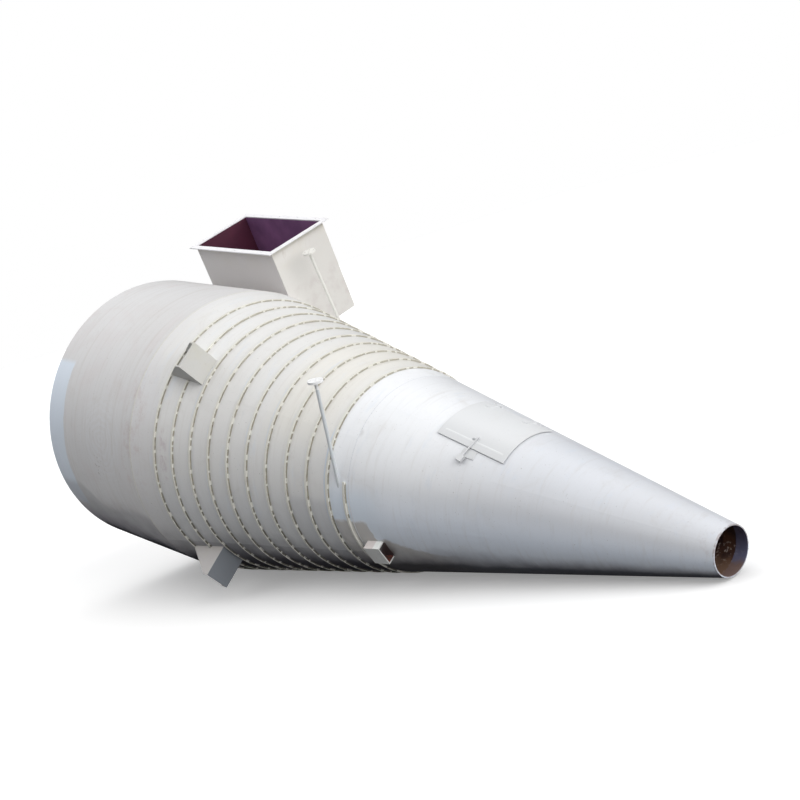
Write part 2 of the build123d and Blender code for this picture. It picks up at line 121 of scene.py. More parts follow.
# Directions of the upright cyclone: up its axis, and out along bearings 0 and 90
UP_AXIS = Vector((-math.cos(LEAN), 0.0, math.sin(LEAN)))
ACROSS_X = Vector(
    (-math.sin(LEAN) * math.cos(LOWEST), math.sin(LOWEST), -math.cos(LEAN) * math.cos(LOWEST))
)
ACROSS_Y = UP_AXIS.cross(ACROSS_X)

# The joint of barrel and cone on the axis. The cone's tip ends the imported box, the barrel
# makes its low side, as far out as its high side, and the first ring stands on the floor.
RING_EDGE = BARREL_RADIUS - SLOPE * FIRST_RING + RING_HEIGHT
JOINT = Vector(
    (
        cad_high[0] - CONE_LENGTH * math.cos(LEAN) - TIP_RADIUS * math.sin(LEAN),
        BARREL_RADIUS - cad_high[1],
        RING_EDGE * math.cos(LEAN) + (FIRST_RING + RING_HALF) * math.sin(LEAN),
    )
)


def shell_radius(depth):
    return BARREL_RADIUS - SLOPE * max(depth, 0.0)


def upright(x, y, depth):
    return JOINT + ACROSS_X * x + ACROSS_Y * y - UP_AXIS * depth


def at(bearing, depth, lift=0.0):
    """A place over the outside plate."""
    angle = math.radians(bearing)
    radius = shell_radius(depth) + lift
    return upright(radius * math.cos(angle), radius * math.sin(angle), depth)


def beside(bearing, along, across, depth):
    """A place by its distance along a bearing, and across it."""
    angle = math.radians(bearing)
    x = along * math.cos(angle) - across * math.sin(angle)
    y = along * math.sin(angle) + across * math.cos(angle)
    return upright(x, y, depth)


def spoke_out(bearing):
    angle = math.radians(bearing)
    return ACROSS_X * math.cos(angle) + ACROSS_Y * math.sin(angle)


def plate_normal(bearing):
    return (spoke_out(bearing) - UP_AXIS * SLOPE).normalized()


def from_axis(place):
    """The way from the axis square out to a place."""
    moved = place - JOINT
    return moved - UP_AXIS * moved.dot(UP_AXIS)


def over_hatch(across, depth, lift):
    """A place over the hatch, by its distance to one side of the hatch's bearing."""
    radius = shell_radius(depth) + lift
    return beside(HATCH_BEARING, math.sqrt(radius**2 - across**2), across, depth)


def add_object(name, data):
    made = bpy.data.objects.new(name, data)
    scene.collection.objects.link(made)
    return made


def srgb(red, green, blue):
    """Linear colour from a screen colour of 0 to 255."""
    out = []
    for value in (red, green, blue):
        value /= 255.0
        out.append(value / 12.92 if value <= 0.04045 else ((value + 0.055) / 1.055) ** 2.4)
    return (*out, 1.0)


# Materials


def put(tree, socket, value):
    """Sets an input, or links it when the value is another node's output."""
    if isinstance(value, bpy.types.NodeSocket):
        tree.links.new(value, socket)
    else:
        socket.default_value = value


def add_node(tree, kind, inputs=None, **settings):
    """Adds a shading node; inputs gives a value for each input's name or number."""
    node = tree.nodes.new("ShaderNode" + kind)
    for key, value in settings.items():
        setattr(node, key, value)
    for key, value in (inputs or {}).items():
        put(tree, node.inputs[key], value)
    return node


class Paint:
    """Builds one node material from small steps."""

    def __init__(self, name, roughness=0.5, coat=0.0):
        self.material = bpy.data.materials.new(name)
        self.material.use_nodes = True
        self.tree = self.material.node_tree
        self.shader = self.tree.nodes["Principled BSDF"]
        self.shader.inputs["Roughness"].default_value = roughness
        self.shader.inputs["Coat Weight"].default_value = coat
        self.place = self.make("TexCoord").outputs["Object"]
        self.normal = self.make("NewGeometry").outputs["Normal"]
        self.heights = None
        # Mask of the painted shade on what faces the ground, once it is laid on
        self.dirt_and_shade = None

    def make(self, kind, inputs=None, **settings):
        return add_node(self.tree, kind, inputs, **settings)

    def math(self, operation, first, second=0.0, third=0.0, clamp=False):
        inputs = {0: first, 1: second, 2: third}
        return self.make("Math", inputs, operation=operation, use_clamp=clamp).outputs[0]

    def add_share(self, value, share, start):
        """The start plus a share of the value."""
        return self.math("MULTIPLY_ADD", value, share, start)

    def vector(self, operation, first, second=(0, 0, 0)):
        node = self.make("VectorMath", {0: first, 1: second}, operation=operation)
        return node.outputs["Value" if operation in ("DOT_PRODUCT", "LENGTH") else "Vector"]

    def along(self, direction, origin=JOINT):
        """Distance of each place from the origin, along a direction."""
        moved = self.vector("SUBTRACT", self.place, tuple(origin))
        return self.vector("DOT_PRODUCT", moved, tuple(direction))

    def facing(self, direction):
        """1 on faces that look along a direction, 0 square to it and -1 against it."""
        return self.vector("DOT_PRODUCT", self.normal, tuple(direction))

    def depth(self):
        return self.along(-UP_AXIS)

    def bearing(self):
        """Bearing of each place in turns, from 0 to 1."""
        y, x = self.along(ACROSS_Y), self.along(ACROSS_X)
        turns = self.math("DIVIDE", self.math("ARCTAN2", y, x), 2 * math.pi)
        return self.math("FRACT", self.math("ADD", turns, 1.0))

    def noise(self, scale, detail=3.0, roughness=0.55, place=None, distortion=0.0):
        inputs = {"Vector": self.place if place is None else place, "Scale": scale}
        inputs |= {"Detail": detail, "Roughness": roughness, "Distortion": distortion}
        return self.make("TexNoise", inputs).outputs["Fac"]

    def stretched(self, around, down):
        """Coordinates that run round the body and down it."""
        inputs = {
            "X": self.math("MULTIPLY", self.bearing(), around),
            "Y": self.math("MULTIPLY", self.depth(), down),
        }
        return self.make("CombineXYZ", inputs).outputs[0]

    def span(self, value, low, high):
        """0 below low and 1 above high, smooth between them."""
        inputs = {"Value": value, "From Min": low, "From Max": high}
        node = self.make("MapRange", inputs, interpolation_type="SMOOTHSTEP")
        return node.outputs["Result"]

    def drop(self, value, low, high):
        """1 below low and 0 above high, smooth between them."""
        return self.math("SUBTRACT", 1.0, self.span(value, low, high))

    def window(self, value, low, high, soft):
        """1 between low and high, fading over soft at each side of both."""
        rise = self.span(value, low - soft, low + soft)
        fall = self.span(value, high - soft, high + soft)
        return self.math("SUBTRACT", rise, fall, clamp=True)

    def times(self, *values):
        out = values[0]
        for value in values[1:]:
            out = self.math("MULTIPLY", out, value)
        return out

    def spot(self, place, inner, outer):
        """1 within an inner distance of a place, fading to 0 at an outer one."""
        away = self.vector("LENGTH", self.vector("SUBTRACT", self.place, tuple(place)))
        return self.drop(away, inner, outer)

    def mix(self, amount, first, second):
        """The first colour where the amount is 0, the second where it is 1."""
        inputs = {"Factor": amount, 6: first, 7: second}
        return self.make("Mix", inputs, data_type="RGBA").outputs[2]

    def layer(self, mask, share, under, over):
        """Lays a share of one colour over another, where the mask is 1."""
        return self.mix(self.times(mask, share), under, over)

    def relief(self, height, strength, distance):
        """Adds a bump to those given before."""
        inputs = {"Strength": strength, "Distance": distance, "Height": height}
        if self.heights is not None:
            inputs["Normal"] = self.heights
        self.heights = self.make("Bump", inputs).outputs["Normal"]

    def finish(self, colour, roughness=None):
        """Connects colour, roughness and bump; the painted shade under things also takes the gloss
        off the paint.
        """
        inputs = {"Base Color": colour}
        if roughness is not None:
            inputs["Roughness"] = roughness
        if self.dirt_and_shade is not None:
            dull = self.math("MULTIPLY_ADD", self.dirt_and_shade, -0.5, 0.5, clamp=True)
            inputs["Specular IOR Level"] = dull
        if self.heights is not None:
            inputs["Normal"] = self.heights
        for name, value in inputs.items():
            put(self.tree, self.shader.inputs[name], value)
        return self.material


CREAM = srgb(218, 218, 217)
GREY_CREAM = srgb(214, 214, 215)
COOL_WHITE = srgb(232, 234, 237)
# Painted shade of the white cone towards its tip
TIP_SHADE_WHITE = srgb(212, 215, 221)
DUST = srgb(176, 168, 158)
GRIME = srgb(120, 114, 108)
# Grime and painted shade in the gap beside a ring
CREVICE = srgb(142, 138, 125)
RUST = srgb(112, 66, 40)
RIM_BLUE = srgb(220, 232, 246)
PRIMER_BLUE = srgb(203, 213, 226)
BARE_BROWN = srgb(176, 170, 160)
MAROON = srgb(90, 34, 52)
# Painted cool tint of the shade on the cone's low side
LOW_SHADE_BLUE = srgb(224, 235, 250)
# Painted shade, dark violet, for what faces the ground
UNDER_SHADE = srgb(56, 48, 68)
PLUM = srgb(140, 96, 140)


def weathered(paint, base, amount):
    """Paint that is never quite even: broad tone, clouds of dust, fine grime and specks."""
    broad = paint.noise(1.3, 4.0, 0.5)
    tone = paint.mix(paint.span(broad, 0.38, 0.72), base, DUST)
    colour = paint.mix(0.10 * amount, base, tone)
    cloud = paint.span(paint.noise(5.5, 6.0, 0.62, distortion=0.6), 0.52, 0.8)
    colour = paint.layer(cloud, 0.22 * amount, colour, DUST)
    fine = paint.span(paint.noise(60.0, 4.0, 0.6), 0.55, 0.8)
    colour = paint.layer(fine, 0.10 * amount, colour, GRIME)
    specks = paint.span(paint.noise(95.0, 2.0, 0.4), 0.73, 0.77)
    return paint.layer(specks, 0.55 * amount, colour, GRIME)


def orange_peel(paint):
    """Fine orange peel of sprayed paint, and the faint waves of rolled plate."""
    paint.relief(paint.noise(240.0, 3.0, 0.55), 0.12, 0.0008)
    paint.relief(paint.noise(7.0, 3.0, 0.5), 0.25, 0.004)


def shaded_under(paint, colour, start=0.37, full=0.72, amount=0.76):
    """Painted shade, dark violet, on what faces the ground."""
    uneven = paint.add_share(paint.noise(6.0, 5.0, 0.6), 0.16, -0.08)
    paint.dirt_and_shade = paint.span(paint.math("ADD", paint.facing((0, 0, -1)), uneven), start, full)
    return paint.layer(paint.dirt_and_shade, amount, colour, UNDER_SHADE)


def inside_mask(paint):
    """1 on faces that look in towards the axis."""
    moved = paint.vector("SUBTRACT", paint.place, tuple(JOINT))
    height = paint.vector("DOT_PRODUCT", moved, tuple(UP_AXIS))
    inputs = {0: tuple(UP_AXIS), "Scale": height}
    run = paint.make("VectorMath", inputs, operation="SCALE").outputs["Vector"]
    spoke = paint.vector("NORMALIZE", paint.vector("SUBTRACT", moved, run))
    outward = paint.vector("DOT_PRODUCT", paint.normal, spoke)
    return paint.math("LESS_THAN", outward, -0.5)


def primer(paint, rusty=0.25):
    """Dull red primer of the inside, mottled with plum and rust."""
    patch = paint.noise(6.0, 5.0, 0.6)
    colour = paint.mix(paint.span(patch, 0.35, 0.7), MAROON, PLUM)
    rust = paint.noise(14.0, 6.0, 0.65)
    return paint.layer(paint.span(rust, 0.5, 0.72), rusty, colour, RUST)


def barrel_paint():
    """Barrel, roof, vortex finder and gas outlet: grey cream outside, primer inside."""
    paint = Paint("barrel_paint", 0.55)
    depth, bearing = paint.depth(), paint.bearing()
    base = weathered(paint, GREY_CREAM, 1.0)
    round_streaks = paint.noise(1.0, 5.0, 0.6, place=paint.stretched(6.0, 26.0))
    base = paint.layer(paint.span(round_streaks, 0.45, 0.78), 0.26, base, DUST)
    blush = paint.span(paint.noise(2.2, 3.0, 0.5, distortion=1.2), 0.45, 0.7)
    base = paint.layer(blush, 0.20, base, srgb(204, 192, 192))
    base = wiped_arcs(paint, base)
    base = blue_rim(paint, base, depth, bearing)
    # Painted shade on the barrel's low side
    base = barrel_low_shade(paint, base, depth, bearing)
    base = end_scuffs(paint, base, depth, bearing)
    base = shaded_under(paint, base, 0.20, 0.66)
    colour = paint.mix(inside_mask(paint), base, primer(paint))
    orange_peel(paint)
    return paint.finish(colour, paint.add_share(paint.noise(4.0), 0.25, 0.42))


def blue_rim(paint, base, depth, bearing):
    """Pale blue strip along one arc of the barrel's end, but not on its roof."""
    ragged = paint.add_share(paint.noise(9.0, 3.0), 0.03, depth)
    rim = paint.times(
        paint.drop(ragged, -0.962, -0.946),
        paint.window(bearing, 0.417, 0.597, 0.004),
        paint.math("LESS_THAN", paint.facing(UP_AXIS), 0.5),
    )
    return paint.layer(rim, 0.8, base, RIM_BLUE)


def barrel_low_shade(paint, base, depth, bearing):
    """Painted shade, grey, on the barrel's low side, with an edge that wanders down the barrel."""
    edge = paint.add_share(paint.span(depth, -0.95, -0.63), -0.027, 0.452)
    edge = paint.add_share(paint.span(depth, -0.63, -0.21), 0.010, edge)
    edge = paint.add_share(paint.noise(5.0, 4.0), 0.012, edge)
    under = paint.span(paint.math("SUBTRACT", edge, bearing), 0.0, 0.012)
    under = paint.times(under, paint.span(bearing, 0.10, 0.20))
    return paint.layer(under, 0.42, base, srgb(146, 147, 152))


def wiped_arcs(paint, base):
    """Pale arcs where the barrel was wiped, and a few dark specks beside them."""
    moved = paint.vector("SUBTRACT", paint.place, tuple(at(*WIPED_AT)))
    inputs = {"Vector": moved, "Scale": 7.0, "Distortion": 9.0, "Detail": 3.0}
    wiped = paint.make("TexWave", inputs, wave_type="RINGS", rings_direction="SPHERICAL")
    near = paint.drop(paint.vector("LENGTH", moved), 0.12, 0.42)
    arcs = paint.times(paint.span(wiped.outputs["Fac"], 0.3, 0.9), near)
    base = paint.layer(arcs, 0.20, base, srgb(226, 229, 236))
    specks = paint.spot(at(*SPECKS_AT), 0.05, 0.12)
    specks = paint.times(specks, paint.span(paint.noise(34.0, 3.0, 0.6), 0.60, 0.66))
    return paint.layer(specks, 0.7, base, GRIME)


def end_scuffs(paint, base, depth, bearing):
    """Pinkish scuffs on both sides of the joint of barrel and cone."""
    rubbed = paint.span(paint.noise(11.0, 5.0, 0.7), 0.42, 0.68)
    scuff = paint.times(paint.window(depth, -0.10, 0.12, 0.06), rubbed)
    scuff = paint.times(scuff, paint.window(bearing, 0.475, 0.60, 0.02))
    return paint.layer(scuff, 0.40, base, srgb(184, 166, 164))


def cone_base(paint):
    """Barrel tone down to the first ring, but less far over the top, then cream down to the last
    ring and cool white below it, with painted shade darkening the white towards the tip."""
    depth, bearing = paint.depth(), paint.bearing()
    ragged = paint.add_share(paint.noise(9.0, 4.0), 0.08, -0.04)
    wander = paint.math("ADD", depth, ragged)
    grey_end = paint.add_share(paint.span(bearing, 0.565, 0.645), -0.18, 0.235)
    to_edge = paint.math("SUBTRACT", grey_end, wander)
    over_top = paint.span(bearing, 0.57, 0.63)
    sharp = paint.times(paint.span(to_edge, -0.008, 0.008), paint.math("SUBTRACT", 1.0, over_top))
    faded = paint.times(paint.span(to_edge, -0.07, 0.07), over_top)
    greyed = paint.math("ADD", sharp, faded)
    below = paint.add_share(ragged, 0.15, depth)
    cool = paint.span(below, LAST_RING, LAST_RING + 0.02)
    cream = weathered(paint, CREAM, 0.9)
    # Painted cool tint of the shade on the cream's low side
    cool_shade = paint.drop(bearing, 0.455, 0.52)
    cream = paint.layer(cool_shade, 0.5, cream, srgb(210, 213, 217))
    warmer = paint.times(paint.span(bearing, 0.54, 0.60), paint.window(depth, 1.22, 1.72, 0.12))
    cream = paint.layer(warmer, 0.25, cream, srgb(228, 222, 204))
    # Painted light: the white is lightest on the upper cone, with painted shade towards the tip
    tone = paint.mix(paint.span(depth, 2.2, 3.3), COOL_WHITE, TIP_SHADE_WHITE)
    # Painted cool tint of the shade on the white cone's low side
    low_side_shade = paint.drop(bearing, 0.445, 0.56)
    tone = paint.layer(low_side_shade, 0.8, tone, LOW_SHADE_BLUE)
    base = paint.mix(greyed, cream, weathered(paint, GREY_CREAM, 0.9))
    base = paint.mix(cool, base, weathered(paint, tone, 0.7))
    bands = paint.noise(1.0, 4.0, 0.6, place=paint.stretched(9.0, 30.0))
    base = paint.layer(paint.span(bands, 0.5, 0.8), 0.20, base, DUST)
    cold = paint.noise(1.0, 4.0, 0.6, place=paint.stretched(14.0, 11.0))
    base = paint.layer(paint.span(cold, 0.56, 0.72), 0.25, base, PRIMER_BLUE)
    base = end_scuffs(paint, base, depth, bearing)
    return brown_patch(paint, base, depth, bearing), depth, bearing


def brown_patch(paint, base, depth, bearing):
    """Pale blue paint below the last ring, and bare brown plate on the low side of its edge."""
    ragged = paint.add_share(paint.noise(9.0, 5.0, 0.65), 0.022, -0.011)
    wander = paint.add_share(paint.noise(14.0, 3.0), 0.05, depth)
    edge = paint.add_share(paint.span(wander, 2.045, 2.085), -0.030, 0.464)
    edge = paint.add_share(paint.span(depth, 2.08, 2.45), -0.030, edge)
    edge = paint.math("ADD", edge, ragged)
    reach = paint.times(
        paint.span(bearing, 0.24, 0.30),
        paint.span(depth, LAST_RING + 0.012, LAST_RING + 0.02),
        paint.drop(wander, 2.35, 2.75),
    )
    blue_side = paint.times(
        reach,
        paint.window(bearing, 0.40, 0.515, 0.02),
        paint.span(paint.math("SUBTRACT", bearing, edge), -0.003, 0.005),
    )
    fades = paint.drop(depth, 2.0, 2.25)
    base = paint.layer(paint.times(blue_side, fades), 0.6, base, srgb(210, 222, 234))
    brown = paint.times(reach, paint.span(paint.math("SUBTRACT", edge, bearing), -0.003, 0.005))
    patch = paint.span(paint.noise(7.0, 5.0, 0.7), 0.35, 0.7)
    earth = paint.mix(patch, BARE_BROWN, srgb(176, 172, 168))
    return paint.layer(brown, 0.8, base, earth)


def ringed_paint():
    """Ringed cone: dust and grime below each ring, pale strips above some, a mauve mark, and
    grey bands on the low side."""
    paint = Paint("ringed_paint", 0.5)
    base, depth, bearing = cone_base(paint)
    past_first = paint.math("SUBTRACT", depth, FIRST_RING)
    turn = paint.math("FRACT", paint.math("DIVIDE", past_first, RING_PITCH))
    ringed = paint.window(depth, FIRST_RING, LAST_RING + 0.02, 0.004)
    lee = paint.drop(turn, 0.07, 0.26)
    dusty = paint.times(lee, ringed, paint.span(paint.noise(8.0, 4.0), 0.35, 0.7), 0.28)
    base = paint.mix(dusty, base, DUST)
    root = paint.window(turn, 0.055, 0.08, 0.015)
    base = paint.layer(paint.times(root, ringed), 0.30, base, GRIME)
    before = paint.window(turn, 0.82, 0.935, 0.012)
    at_last = paint.times(
        paint.span(depth, LAST_RING - 0.05, LAST_RING - 0.045),
        paint.window(bearing, 0.455, 0.60, 0.015),
    )
    patchy = paint.times(paint.span(paint.noise(3.5, 3.0), 0.50, 0.62), 0.45)
    strip = paint.times(before, ringed, paint.math("MAXIMUM", at_last, patchy))
    base = paint.layer(strip, 0.85, base, srgb(206, 215, 226))
    mauve = paint.times(
        paint.window(bearing, 0.489, 0.547, 0.01),
        paint.window(depth, 0.30, 0.36, 0.02),
        paint.span(paint.noise(12.0, 5.0, 0.7, distortion=0.8), 0.42, 0.6),
    )
    base = paint.layer(mauve, 0.5, base, srgb(176, 160, 168))
    low_bands = paint.times(
        paint.window(depth, LAST_RING - 0.33, LAST_RING, 0.02),
        paint.window(bearing, 0.26, 0.492, 0.008),
    )
    base = paint.layer(low_bands, 0.35, base, srgb(172, 174, 178))
    base = shaded_under(paint, base)
    colour = paint.mix(inside_mask(paint), base, primer(paint))
    orange_peel(paint)
    return paint.finish(colour, paint.add_share(paint.noise(4.0), 0.25, 0.38))


def smooth_paint():
    """Smooth cone and outlet cone: white outside, with a rusty rim at the dust outlet."""
    paint = Paint("smooth_paint", 0.35, coat=0.06)
    base, depth, bearing = cone_base(paint)
    for stain_bearing, stain_depth, size in STAINS:
        stain = paint.spot(at(stain_bearing, stain_depth), 0.3 * size, size)
        base = paint.layer(stain, 0.2, base, GRIME)
    base = paint.layer(lug_hollow(paint), 0.9, base, srgb(88, 66, 62))
    base = shaded_under(paint, base)
    patchy = paint.span(paint.noise(16.0, 5.0, 0.7), 0.5, 0.66)
    worn_tip = paint.times(paint.span(depth, 3.9, 4.25), patchy)
    base = paint.layer(worn_tip, 0.10, base, RUST)
    chipped = paint.span(paint.noise(40.0, 4.0), 0.35, 0.6)
    rim = paint.times(paint.span(depth, CONE_LENGTH - 0.013, CONE_LENGTH - 0.003), chipped)
    base = paint.layer(rim, 0.4, base, RUST)
    colour = paint.mix(inside_mask(paint), base, cone_lining(paint, depth))
    orange_peel(paint)
    return paint.finish(colour, paint.add_share(paint.noise(3.0), 0.25, 0.22))


def cone_lining(paint, depth):
    """Primer, and towards the dust outlet rust scale with pale crumbs, settled grime and a violet
    lip.
    """
    rust = paint.noise(9.0, 6.0, 0.7, distortion=0.4)
    scale = paint.mix(paint.span(rust, 0.40, 0.72), srgb(66, 48, 52), srgb(122, 86, 66))
    level = paint.facing((0, 0, 1))
    grains = paint.span(paint.noise(48.0, 4.0, 0.6), 0.56, 0.64)
    crumbs = paint.times(paint.span(level, 0.05, 0.4), grains)
    scale = paint.layer(crumbs, 0.8, scale, srgb(226, 214, 204))
    lining = paint.mix(paint.span(depth, 3.2, 3.9), primer(paint, 0.5), scale)
    lip = paint.add_share(paint.noise(20.0, 4.0), 0.01, depth)
    lip = paint.span(lip, CONE_LENGTH - 0.086, CONE_LENGTH - 0.080)
    lining = paint.layer(lip, 0.85, lining, srgb(140, 142, 176))
    settled = paint.add_share(paint.noise(16.0, 5.0, 0.7), 0.5, level)
    settled = paint.times(paint.span(settled, 0.85, 1.1), paint.span(depth, 3.4, 3.9))
    return paint.layer(settled, 0.8, lining, srgb(150, 120, 100))


def duct_paint():
    """Inlet duct: cream, with one greyer wall, worn at its foot and yellowed at its mouth."""
    paint = Paint("duct_paint", 0.5)
    base = weathered(paint, srgb(221, 219, 215), 0.3)
    reach = paint.along(spoke_out(DUCT_BEARING))
    drips = paint.noise(1.0, 5.0, 0.7, place=paint.vector("MULTIPLY", paint.place, (22, 22, 2.5)))
    under_lip = paint.times(paint.window(reach, 0.90, 1.03, 0.05), paint.span(drips, 0.58, 0.72))
    base = paint.layer(under_lip, 0.22, base, srgb(150, 132, 116))
    patchy = paint.span(paint.noise(5.0, 3.0), 0.4, 0.65)
    yellowed = paint.times(paint.span(reach, 0.80, 0.98), patchy)
    base = paint.layer(yellowed, 0.3, base, srgb(214, 208, 190))
    grey_wall = paint.facing(-spoke_out(DUCT_BEARING + 90))
    base = paint.layer(paint.span(grey_wall, 0.5, 0.9), 0.5, base, srgb(202, 198, 200))
    under_flange = paint.times(paint.span(reach, 0.985, 1.02), paint.span(drips, 0.35, 0.55))
    base = paint.layer(under_flange, 0.4, base, srgb(204, 196, 172))
    low = paint.times(paint.drop(reach, 0.66, 0.78), paint.span(paint.noise(12.0, 4.0), 0.4, 0.7))
    base = paint.layer(low, 0.20, base, srgb(176, 160, 160))
    colour = paint.mix(duct_hollow(paint), base, duct_lining(paint))
    orange_peel(paint)
    return paint.finish(colour, paint.add_share(paint.noise(4.0), 0.2, 0.42))


def duct_hollow(paint):
    """1 on the duct's inner faces."""
    middle = beside(DUCT_BEARING, 0.7, (DUCT_NEAR + DUCT_FAR) / 2, -(DUCT_LOW + DUCT_HIGH) / 2)
    wall = DUCT_WALL - INNER_MARGIN
    to_side = paint.math("ABSOLUTE", paint.along(spoke_out(DUCT_BEARING + 90), middle))
    to_end = paint.math("ABSOLUTE", paint.along(UP_AXIS, middle))
    return paint.times(
        paint.math("LESS_THAN", to_side, (DUCT_FAR - DUCT_NEAR) / 2 - wall),
        paint.math("LESS_THAN", to_end, (DUCT_HIGH - DUCT_LOW) / 2 - wall),
    )


def duct_lining(paint):
    """Red inside the duct, and violet on its two walls that face each other across it."""
    across = paint.math("ABSOLUTE", paint.facing(spoke_out(DUCT_BEARING + 90)))
    cloudy = paint.span(paint.noise(5.0, 4.0), 0.3, 0.75)
    red = paint.mix(cloudy, srgb(76, 24, 47), srgb(60, 19, 40))
    violet = paint.mix(cloudy, srgb(152, 106, 152), srgb(122, 84, 126))
    worn = paint.span(paint.noise(26.0, 5.0, 0.7), 0.62, 0.7)
    return paint.layer(worn, 0.35, paint.mix(across, red, violet), RUST)


def fitting_paint(name, base, dirt_and_shade, roughness=0.5):
    """Paint of rings, duct flange, barrel nozzle and small hatch pieces, chipped to rust."""
    paint = Paint(name, roughness)
    colour = weathered(paint, base, dirt_and_shade)
    chips = paint.noise(85.0, 3.0, 0.6)
    colour = paint.layer(paint.span(chips, 0.69, 0.72), 0.6 * dirt_and_shade, colour, RUST)
    colour = shaded_under(paint, colour)
    orange_peel(paint)
    return paint.finish(colour, paint.add_share(paint.noise(6.0), 0.25, roughness - 0.1))


def bracket_paint():
    """Brackets: yellowed in patches, with painted shade on the barrel's low side, darkest where
    they face the cone's tip."""
    paint = Paint("bracket_paint", 0.55)
    colour = weathered(paint, srgb(204, 204, 201), 1.0)
    yellowed = paint.span(paint.noise(4.0, 3.0), 0.45, 0.65)
    colour = paint.layer(yellowed, 0.4, colour, srgb(202, 200, 184))
    # Painted shade on the barrel's low side
    low = paint.window(paint.bearing(), 0.28, 0.44, 0.02)
    colour = paint.layer(low, 0.45, colour, srgb(168, 160, 162))
    # Painted shade, darkest where the low brackets face the cone's tip
    tip_facing_shade = paint.span(paint.facing(-UP_AXIS), 0.5, 0.9)
    colour = paint.layer(paint.times(tip_facing_shade, low), 0.8, colour, srgb(112, 121, 132))
    orange_peel(paint)
    return paint.finish(colour, paint.add_share(paint.noise(6.0), 0.25, 0.45))


def hatch_paint():
    """Door, hinges, latch and keeper, with painted shade: a little darker towards the door's free
    edge, lighter towards the hinges.
    """
    paint = Paint("hatch_paint", 0.4)
    # Painted shade towards the free edge, lighter towards the hinges
    lit_to_hinges = paint.span(paint.bearing(), 0.655, 0.70)
    tone = paint.mix(lit_to_hinges, srgb(208, 210, 212), srgb(217, 219, 221))
    colour = shaded_under(paint, weathered(paint, tone, 0.4))
    orange_peel(paint)
    return paint.finish(colour, paint.add_share(paint.noise(6.0), 0.25, 0.3))


def crevice_paint():
    """Grime and painted shade between a ring's stitch welds; painted shade darker low down,
    painted light paler over the top.
    """
    paint = Paint("ring_crevice", 0.8)
    patch = paint.noise(38.0, 5.0, 0.7)
    colour = paint.mix(paint.span(patch, 0.38, 0.68), CREVICE, srgb(164, 159, 144))
    dark = paint.span(paint.noise(70.0, 3.0), 0.60, 0.72)
    colour = paint.layer(dark, 0.8, colour, srgb(92, 86, 76))
    bearing = paint.bearing()
    # Painted shade: darker on the low side
    low_side_shade = paint.drop(bearing, 0.43, 0.50)
    colour = paint.layer(low_side_shade, 0.75, colour, srgb(84, 82, 76))
    # Painted light: paler over the top
    over_top = paint.span(bearing, 0.60, 0.70)
    colour = paint.layer(over_top, 0.45, colour, srgb(184, 181, 170))
    paint.relief(paint.noise(260.0, 4.0, 0.7), 0.5, 0.001)
    return paint.finish(colour)


def pipe_paint():
    """The cone's nozzle: a blue-grey pipe with a white flange."""
    paint = Paint("pipe_paint", 0.5)
    along = NOZZLE_REACH - NOZZLE_FLANGE_THICKNESS / 2
    across = NOZZLE_INSET - shell_radius(NOZZLE_DEPTH)
    flange = beside(NOZZLE_BEARING, along, across, NOZZLE_DEPTH)
    edge = NOZZLE_FLANGE_RADIUS + 0.0045
    on_flange = paint.spot(flange, edge, edge + 0.002)
    base = paint.mix(on_flange, srgb(200, 206, 210), srgb(240, 241, 242))
    colour = weathered(paint, base, 0.7)
    orange_peel(paint)
    return paint.finish(colour)


def lug_places(paint):
    """Lift, sideways distance and distance down of each place, from the lug's upper edge."""
    base = at(LUG_BEARING, LUG_TOP)
    lift = paint.along(plate_normal(LUG_BEARING), base)
    across = paint.along(spoke_out(LUG_BEARING + 90), base)
    down = paint.along((-UP_AXIS - spoke_out(LUG_BEARING) * SLOPE).normalized(), base)
    return lift, across, down


def lug_hollow(paint):
    """1 on what shows inside the lug's channel, and on a little plate below it."""
    lift, across, down = lug_places(paint)
    web, leg = LUG_WEB - INNER_MARGIN, LUG_LEG - INNER_MARGIN
    return paint.times(
        paint.math("LESS_THAN", lift, LUG_HEIGHT - web),
        paint.math("LESS_THAN", paint.math("ABSOLUTE", across), LUG_HALF - leg),
        paint.window(down, 0.0, LUG_LENGTH + 0.015, 0.004),
    )


def lug_paint():
    """The lug: pinkish on the upper part of one leg's outer side, worn brown inside."""
    paint = Paint("lug_paint", 0.55)
    colour = weathered(paint, srgb(232, 234, 232), 0.8)
    across, down = lug_places(paint)[1:]
    outer_side = paint.math("GREATER_THAN", across, LUG_HALF - 0.0015)
    pink = paint.times(paint.drop(down, 0.066, 0.076), outer_side)
    colour = paint.layer(pink, 0.7, colour, srgb(202, 190, 188))
    chips = paint.noise(45.0, 4.0, 0.6)
    colour = paint.layer(paint.span(chips, 0.66, 0.70), 0.4, colour, RUST)
    rusty = paint.span(paint.noise(30.0, 4.0, 0.6), 0.45, 0.65)
    inner = paint.mix(rusty, srgb(84, 60, 56), srgb(126, 66, 52))
    colour = paint.mix(lug_hollow(paint), colour, inner)
    orange_peel(paint)
    return paint.finish(colour)


def weld_paint(name, base):
    """Painted weld with the ripples of its passes."""
    paint = Paint(name, 0.45)
    colour = weathered(paint, base, 0.8)
    dirt_and_shade = paint.noise(120.0, 4.0, 0.6)
    colour = paint.layer(paint.span(dirt_and_shade, 0.5, 0.75), 0.35, colour, GRIME)
    colour = shaded_under(paint, colour)
    paint.relief(paint.noise(170.0, 2.0, 0.5), 0.6, 0.0015)
    return paint.finish(colour)


